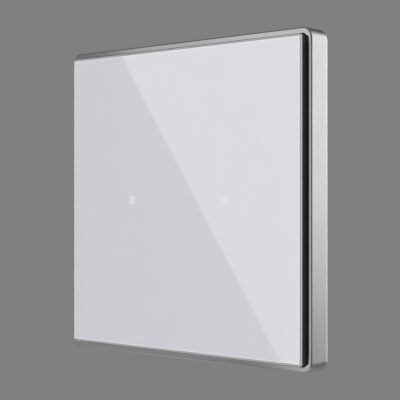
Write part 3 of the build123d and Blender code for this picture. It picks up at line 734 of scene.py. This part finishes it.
def screw_head(form, x, z, low, floor, high):
    """The slotted head, from its underside to its crown, with its rim turned off."""
    turned_radius = screw_head_radius - screw_rim
    profile = ((screw_head_radius, low), (screw_head_radius, floor), (screw_head_radius, high - screw_rim),
               (turned_radius, high))
    levels = []
    for radius, y in profile:
        halves = [half_head(x, z, side, radius) for side in (1, -1)]
        levels.append([[form.verts.new((a, y, b)) for a, b in half] for half in halves])
    base, shelf, shoulder, crown = levels
    foot, step = (level[0] + level[1][::-1] for level in (base, shelf))
    for i in range(len(foot)):
        j = (i + 1) % len(foot)
        form.faces.new((foot[i], foot[j], step[j], step[i]))
    form.faces.new(foot)
    form.faces.new((shelf[0][0], shelf[0][-1], shelf[1][-1], shelf[1][0]))
    for low_arc, arc, high_arc in zip(shelf, shoulder, crown):
        for first, second in ((low_arc, arc), (arc, high_arc)):
            for i in range(len(first) - 1):
                form.faces.new((first[i], first[i + 1], second[i + 1], second[i]))
        form.faces.new((low_arc[0], arc[0], high_arc[0], high_arc[-1], arc[-1], low_arc[-1]))
        form.faces.new(high_arc)


def terminal_screws():
    """A screw for each terminal, in place of its CAD node."""
    finish = finishes["screw_steel"]
    for number in terminals:
        node = "terminal_screw_%d" % number
        low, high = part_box(node)
        x, z = (low.x + high.x) / 2, (low.z + high.z) / 2
        under_head = high.y - screw_head_thickness
        form = bmesh.new()
        screw_shaft(form, x, z, low.y, under_head + shaft_overlap)
        screw_head(form, x, z, under_head, high.y - screw_slot_depth, high.y)
        screw = detail("slotted_screw_%d" % number, form, finish, "screw_%d" % number, screw_rounding)
        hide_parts(node)


# Terminal numbers: raised and inked digits above the screws on the back of the terminal block
digit_height = 2.6 * mm
digit_font_share = 0.73
digit_relief = 0.06 * mm
digit_drop = 3.9 * mm
digit_edge = 0.02 * mm
digit_edge_parts = 2
digit_weld = 0.001 * mm


def terminal_numbers():
    """The four digits, which read upright from behind."""
    for number in terminals:
        name = "terminal_number_%d" % number
        low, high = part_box("terminal_screw_%d" % number)
        data = bpy.data.curves.new(name, "FONT")
        data.body = str(number)
        data.size = digit_height / digit_font_share
        data.align_x = "CENTER"
        data.extrude = digit_relief
        data.bevel_depth = digit_edge
        data.bevel_resolution = digit_edge_parts
        data.materials.append(white_ink.material)
        digit = placed(name, data)
        digit.matrix_world = Matrix(((-1, 0, 0, (low.x + high.x) / 2), (0, 0, 1, block_high.y),
                                     (0, 1, 0, block_high.z - digit_drop), (0, 0, 0, 1)))
        weld_points(digit, digit_weld)
        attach(digit, "switch_base")


# Ejector marks: the faint raised rings that the pins of the mould leave on the back of the housing
mark_radius = 2.0 * mm
mark_width = 0.16 * mm
mark_relief = 0.04 * mm
mark_rounding = 0.015 * mm
mark_sides = 48
mark_margin = 7 * mm
mark_across = housing_high.x - mark_margin
mark_levels = (housing_high.z - mark_margin, block_high.z + 5 * mm)


def ejector_marks():
    """The four rings."""
    form = bmesh.new()
    depths = (housing_high.y - mark_relief, housing_high.y + mark_relief)
    for x in (mark_across, -mark_across):
        for z in mark_levels:
            ring(form, x, z, mark_radius - mark_width, mark_radius, *depths, mark_sides)
    marks = detail("ejector_marks", form, finishes["housing"], "switch_base", mark_rounding)


# Small parts on the back of the touch board: chip resistors and capacitors
small_length = 1.6 * mm
small_width = 0.8 * mm
resistor_height = 0.45 * mm
capacitor_height = 0.8 * mm
glaze_height = 0.04 * mm
glaze_inset = 0.05 * mm
end_length = 0.3 * mm
end_wrap = 0.02 * mm
fillet_length = 0.3 * mm
fillet_share = 0.6
pad_length = 0.9 * mm
pad_width = 0.95 * mm
pad_margin = 0.05 * mm
print_half = 0.7 * mm
print_distance = 0.25 * mm

# Copper and ink of the board
track_width = 0.28 * mm
copper_height = 0.035 * mm
fillet_toe = 2 * copper_height
via_height = 1.4 * copper_height
via_radius = 0.32 * mm
via_hole = 0.16 * mm
via_reach = 0.2 * mm
ink_height = 0.02 * mm
ink_width = 0.15 * mm
print_margin = 0.4 * mm

# Layout of the board beside its middle, the same on both sides, with the chip's leads by their pitches
chip_middle = (chip_low.z + chip_high.z) / 2
header_middle = (header_low.z + header_high.z) / 2
lead_pitch = 1.27 * mm
plug_leads = (0.5, 1.5, 2.5)
fan_rise = 2.6 * mm
fan_step = 0.75 * mm
supply_lead = 3.5
supply_part = (chip_high.x + 3.25 * mm, chip_middle)
supply_bend = 0.5 * mm
supply_corner = 0.6 * mm
supply_via = chip_middle - 2.8 * mm
input_leads = ((1.5, 1.5), (3.5, 4.5))
input_bend = 0.5 * mm
input_row = chip_low.z - 3.55 * mm
input_via = board_low.z + 3.2 * mm
ground_leads = ((0.5, chip_low.z - 2.45 * mm), (2.5, chip_low.z - 1.65 * mm))
lamp_half = 1.7 * mm
lamp_row = led_low.z - 3.5 * mm
lamp_end = 0.9 * mm
lamp_turn = 2.2 * mm
lamp_via = (4.7 * mm, lamp_row - 4.2 * mm)
chip_print_distance = 0.45 * mm
chip_print_ends = (chip_middle - 2 * mm, chip_middle + 2 * mm)
first_lead_dot = (chip_low.x - 0.95 * mm, chip_low.z + 0.05 * mm, 0.25 * mm)
edge_via_pitch = 5.8 * mm
edge_via_margin = 1.1 * mm

# Capacitors by themselves: the place, and how far the track rises and then slants to its via
lone_capacitors = (
    (12 * mm, input_row + 0.5 * mm, 2.6 * mm, 1.6 * mm),
    (header_high.x + 3.38 * mm, header_middle, 3 * mm, 2 * mm),
)
lone_via_reach = 0.1 * mm

# Pieces on the back of the touch board, with their finishes and edge roundings
board_pieces = {
    "resistor_bodies": (resistor_ceramic, 0.04 * mm),
    "resistor_glazes": (resistor_glaze, 0.01 * mm),
    "capacitor_bodies": (capacitor_ceramic, 0.06 * mm),
    "solder_ends": (tin, 0.03 * mm),
    "solder_pads": (tin, None),
    "board_tracks": (track_resist, None),
    "board_vias": (tin, None),
    "outline_prints": (white_ink, None),
}


def turned(x, z, along, across, upright):
    """A place given along and across a small part that stands upright or level."""
    return (x + across, z + along) if upright else (x + along, z + across)


def oblong(x, z, length, width, upright):
    """The outline of an oblong that lies along a small part."""
    corners = ((-1, -1), (1, -1), (1, 1), (-1, 1))
    return [turned(x, z, a * length / 2, b * width / 2, upright) for a, b in corners]


class BoardBack:
    """The pieces on the back of the touch board, each drawn into one form."""

    def __init__(self):
        self.forms = {name: bmesh.new() for name in board_pieces}

    def layer(self, name, outline, height):
        """A flat shape that lies on the board."""
        slab(self.forms[name], outline, board_rear, board_rear + height)

    def track(self, side, *points):
        """A copper track through places, which a side of -1 mirrors to the left."""
        self.layer("board_tracks", strip([(side * x, z) for x, z in points], track_width), copper_height)

    def line(self, *points):
        """A printed line through places."""
        self.layer("outline_prints", strip(points, ink_width), ink_height)

    def via(self, x, z):
        """A plated hole through the board."""
        ring(self.forms["board_vias"], x, z, via_hole, via_radius, board_rear, board_rear + via_height)

    def solder_end(self, x, z, side, upright, height):
        """One end of a small part: its tin cap and fillet, its pad, and the printed line beside it."""
        near, far = side * (small_length / 2 - end_length), side * small_length / 2
        foot, top = far + side * fillet_length, board_rear + height + end_wrap
        profile = ((near, board_rear), (foot, board_rear), (foot, board_rear + fillet_toe),
                   (far, board_rear + fillet_share * height), (far, top), (near, top))
        half = small_width / 2 + end_wrap
        ends = []
        for across in (-half, half):
            places = [(turned(x, z, along, across, upright), y) for along, y in profile]
            ends.append([(a, y, b) for (a, b), y in places])
        bridge(self.forms["solder_ends"], *ends)
        pad = foot + side * (pad_margin - pad_length / 2)
        pad_place = turned(x, z, pad, 0, upright)
        self.layer("solder_pads", oblong(*pad_place, pad_length, pad_width, upright), copper_height)
        beside = side * (pad_width / 2 + print_distance)
        self.line(*(turned(x, z, along, beside, upright) for along in (-print_half, print_half)))

    def small_part(self, x, z, upright, height, body):
        """A chip resistor or capacitor with its ends, pads and outline print."""
        length = small_length - 2 * end_length
        self.layer(body, oblong(x, z, length, small_width, upright), height)
        if body == "resistor_bodies":
            outline = oblong(x, z, length, small_width - 2 * glaze_inset, upright)
            top = board_rear + height
            slab(self.forms["resistor_glazes"], outline, top, top + glaze_height)
        for side in (1, -1):
            self.solder_end(x, z, side, upright, height)

    def resistor(self, x, z, upright):
        """A chip resistor."""
        self.small_part(x, z, upright, resistor_height, "resistor_bodies")

    def capacitor(self, x, z):
        """A chip capacitor, which stands upright."""
        self.small_part(x, z, True, capacitor_height, "capacitor_bodies")

    def outline_print(self, low, high):
        """A printed frame round a part."""
        left, right = low.x - print_margin, high.x + print_margin
        foot, top = low.z - print_margin, high.z + print_margin
        half = ink_width / 2
        for level in (foot, top):
            self.line((left - half, level), (right + half, level))
        for upright in (left, right):
            self.line((upright, foot), (upright, top))

    def plug(self, side):
        """Tracks from the chip to the plug, each fanned out from a lead to a pin at twice its distance."""
        for step in plug_leads:
            lead, pin = step * lead_pitch, 2 * step * lead_pitch
            bend = chip_high.z + fan_rise - step * fan_step
            self.track(side, (lead, chip_high.z), (lead, bend), (pin, bend + pin - lead), (pin, header_low.z))

    def supply(self, side):
        """A supply pin of the chip, its capacitor and its via."""
        lead, row = supply_lead * lead_pitch, chip_high.z + supply_bend
        x, z = supply_part
        self.track(side, (lead, chip_high.z), (lead + supply_bend, row), (x - supply_corner, row),
                   (x, row - supply_corner), (x, z + small_length / 2))
        self.capacitor(side * x, z)
        self.track(side, (x, z - small_length / 2), (x, supply_via + via_reach))
        self.via(side * x, supply_via)

    def inputs(self, side):
        """Touch inputs of the chip through their resistors to their vias, and its ground leads."""
        bend, half = chip_low.z - input_bend, small_length / 2
        for lead_step, part_step in input_leads:
            lead, x = lead_step * lead_pitch, part_step * lead_pitch
            bent = ((lead, bend), (x, bend - (x - lead))) if x > lead else ()
            self.track(side, (lead, chip_low.z), *bent, (x, input_row + half))
            self.resistor(side * x, input_row, True)
            self.track(side, (x, input_row - half), (x, input_via))
            self.via(side * x, input_via)
        for step, foot in ground_leads:
            lead = step * lead_pitch
            self.track(side, (lead, chip_low.z), (lead, foot))
            self.via(side * lead, foot)

    def lamp(self, side):
        """The tracks of a lamp, with its resistor and its via."""
        x, (inward, via_level) = led_high.x - lamp_half, lamp_via
        self.resistor(side * x, lamp_row, False)
        self.track(side, (x + lamp_end, led_low.z), (x + lamp_end, lamp_row))
        self.track(side, (x - lamp_end, lamp_row), (x - lamp_turn, lamp_row),
                   (x - inward, lamp_row + lamp_turn - inward), (x - inward, via_level + via_reach))
        self.via(side * (x - inward), via_level)

    def lone_capacitor(self, side, x, z, rise, run):
        """A capacitor by itself, with a track that rises from its end and slants out to a via."""
        turn = z + rise
        self.capacitor(side * x, z)
        self.track(side, (x, z + small_length / 2), (x, turn), (x + run, turn + run))
        self.via(side * (x + run + lone_via_reach), turn + run + lone_via_reach)

    def prints(self, side):
        """The printed frame round a lamp, and the printed line beside the chip."""
        lamp = side * (led_high.x - lamp_half)
        low = Vector((lamp - lamp_half, 0, led_low.z))
        high = Vector((lamp + lamp_half, 0, led_high.z))
        self.outline_print(low, high)
        beside = side * (chip_high.x + chip_print_distance)
        self.line(*((beside, level) for level in chip_print_ends))

    def edge_vias(self):
        """A row of vias along the board's edges."""
        across, up = board_high.x - edge_via_margin, board_high.z - edge_via_margin
        count_across, count_up = round(2 * across / edge_via_pitch), round(2 * up / edge_via_pitch)
        for i in range(count_across + 1):
            for side in (1, -1):
                self.via(-across + 2 * across * i / count_across, side * up)
        for i in range(1, count_up):
            for side in (1, -1):
                self.via(side * across, -up + 2 * up * i / count_up)


def board_details():
    """The parts and the tracks on the back of the touch board, the same on both sides of its middle."""
    back = BoardBack()
    for side in (1, -1):
        back.plug(side)
        back.supply(side)
        back.inputs(side)
        back.lamp(side)
        for capacitor in lone_capacitors:
            back.lone_capacitor(side, *capacitor)
        back.prints(side)
    back.outline_print(header_low, header_high)
    back.layer("outline_prints", circle(*first_lead_dot), ink_height)
    back.edge_vias()
    for name, (finish, radius) in board_pieces.items():
        detail(name, back.forms[name], finish, "front_panel", radius)


def softbox(name, place, width, height, level, facing=None, roll=0.0):
    """A rectangular soft lamp, which faces the middle of the plate where no facing is given.

    Its level is what it sends out, where 1 is a white surface in full light.
    """
    direction = Vector(facing) if facing else -Vector(place)
    data = bpy.data.lights.new(name, "AREA")
    data.shape = "RECTANGLE"
    data.size = width
    data.size_y = height
    data.energy = level * pi * width * height
    lamp = placed(name, data)
    lamp.rotation_mode = "QUATERNION"
    spin = Matrix.Rotation(roll, 3, "Z").to_quaternion()
    lamp.rotation_quaternion = direction.to_track_quat("-Z", "Y") @ spin
    lamp.location = place
    lamp.visible_camera = False
    return lamp


# The bright part of the glass mirrors a soft lamp, whose edge crosses the face as a slanting line
line_top = (-20.4 * mm, 39.6 * mm)
line_foot = (29.6 * mm, -33.0 * mm)
card_depth = 0.9
card_width = 0.7
card_length = 1.5
card_level = 0.78


def mirrored_in_glass(x, z, depth):
    """The place at a depth in front of the wall that the camera sees mirrored at x, z on the glass."""
    image = Vector((camera_place.x, 2 * glass_front - camera_place.y, camera_place.z))
    point = Vector((x, glass_front, z))
    return image + (point - image) * ((-depth - image.y) / (point.y - image.y))


def card_lamp():
    """The lamp that the right part of the glass mirrors."""
    top = mirrored_in_glass(*line_top, card_depth)
    foot = mirrored_in_glass(*line_foot, card_depth)
    along = (top - foot).normalized()
    across = Vector((along.z, 0, -along.x))
    centre = (top + foot) / 2 + across * card_width / 2
    roll = atan2(-along.x, along.z)
    softbox("card", centre, card_width, card_length, card_level, facing=(0, 1, 0), roll=roll)


# Lamps round the object: name, place, width, height, level, and perhaps what it faces
unmirrored_lamps = (
    ("key", (0.62, -1.02, 0.3), 0.9, 0.9, 4.6),
    ("rear", (0.5, 1.2, 0.6), 0.9, 0.9, 2.2),
    ("left", (-1.3, 0.6, 0.3), 0.9, 0.9, 1.6),
    ("back", (-1.3, 0.55, 0.8), 0.8, 0.8, 1.2),
)
mirrored_lamps = (
    ("panel", (-0.85, -0.98, 0), 0.7, 0.8, 0.18),
    ("top", (0, 0.1, 1.3), 1.1, 1.1, 1.0),
    ("side", (0.95, 1.0, 0.55), 1.0, 1.42, 1.23, (-0.95, -1.0, -0.4)),
    ("rim", (0.42, 1.35, 0.1), 0.35, 1.0, 2.3),
)


def make_lamps():
    """The soft lamps round the object, some of which light it without showing in its mirror images."""
    card_lamp()
    for lamp in unmirrored_lamps:
        softbox(*lamp).visible_glossy = False
    for lamp in mirrored_lamps:
        softbox(*lamp)


# Stage: a grey world, which is the plain background, and a pale floor disc below the photograph's view
background_grey = 0.2159
floor_grey = (0.62, 0.62, 0.62)
floor_roughness = 0.8
floor_cloud = 0.15
floor_change = 0.02
floor_height = -0.6
floor_radius = 0.65
floor_sides = 96


def make_stage():
    """The plain grey surround and the pale floor."""
    world = bpy.data.worlds.new("world")
    world.use_nodes = True
    bpy.context.scene.world = world
    background = world.node_tree.nodes["Background"]
    background.inputs["Color"].default_value = (background_grey, background_grey, background_grey, 1)
    mesh = bpy.data.meshes.new("floor")
    form = bmesh.new()
    bmesh.ops.create_circle(form, cap_ends=True, segments=floor_sides, radius=floor_radius)
    form.to_mesh(mesh)
    form.free()
    floor = placed("floor", mesh)
    floor.location.z = floor_height
    finish = Finish("floor", floor_grey, floor_roughness)
    finish.set("Base Color", finish.shades(finish.noise(floor_cloud), floor_change))
    mesh.materials.append(finish.material)


make_camera()
make_stage()
make_lamps()
dress_nodes()
terminal_screws()
terminal_numbers()
ejector_marks()
board_details()
bpy.context.scene.view_settings.view_transform = "Standard"
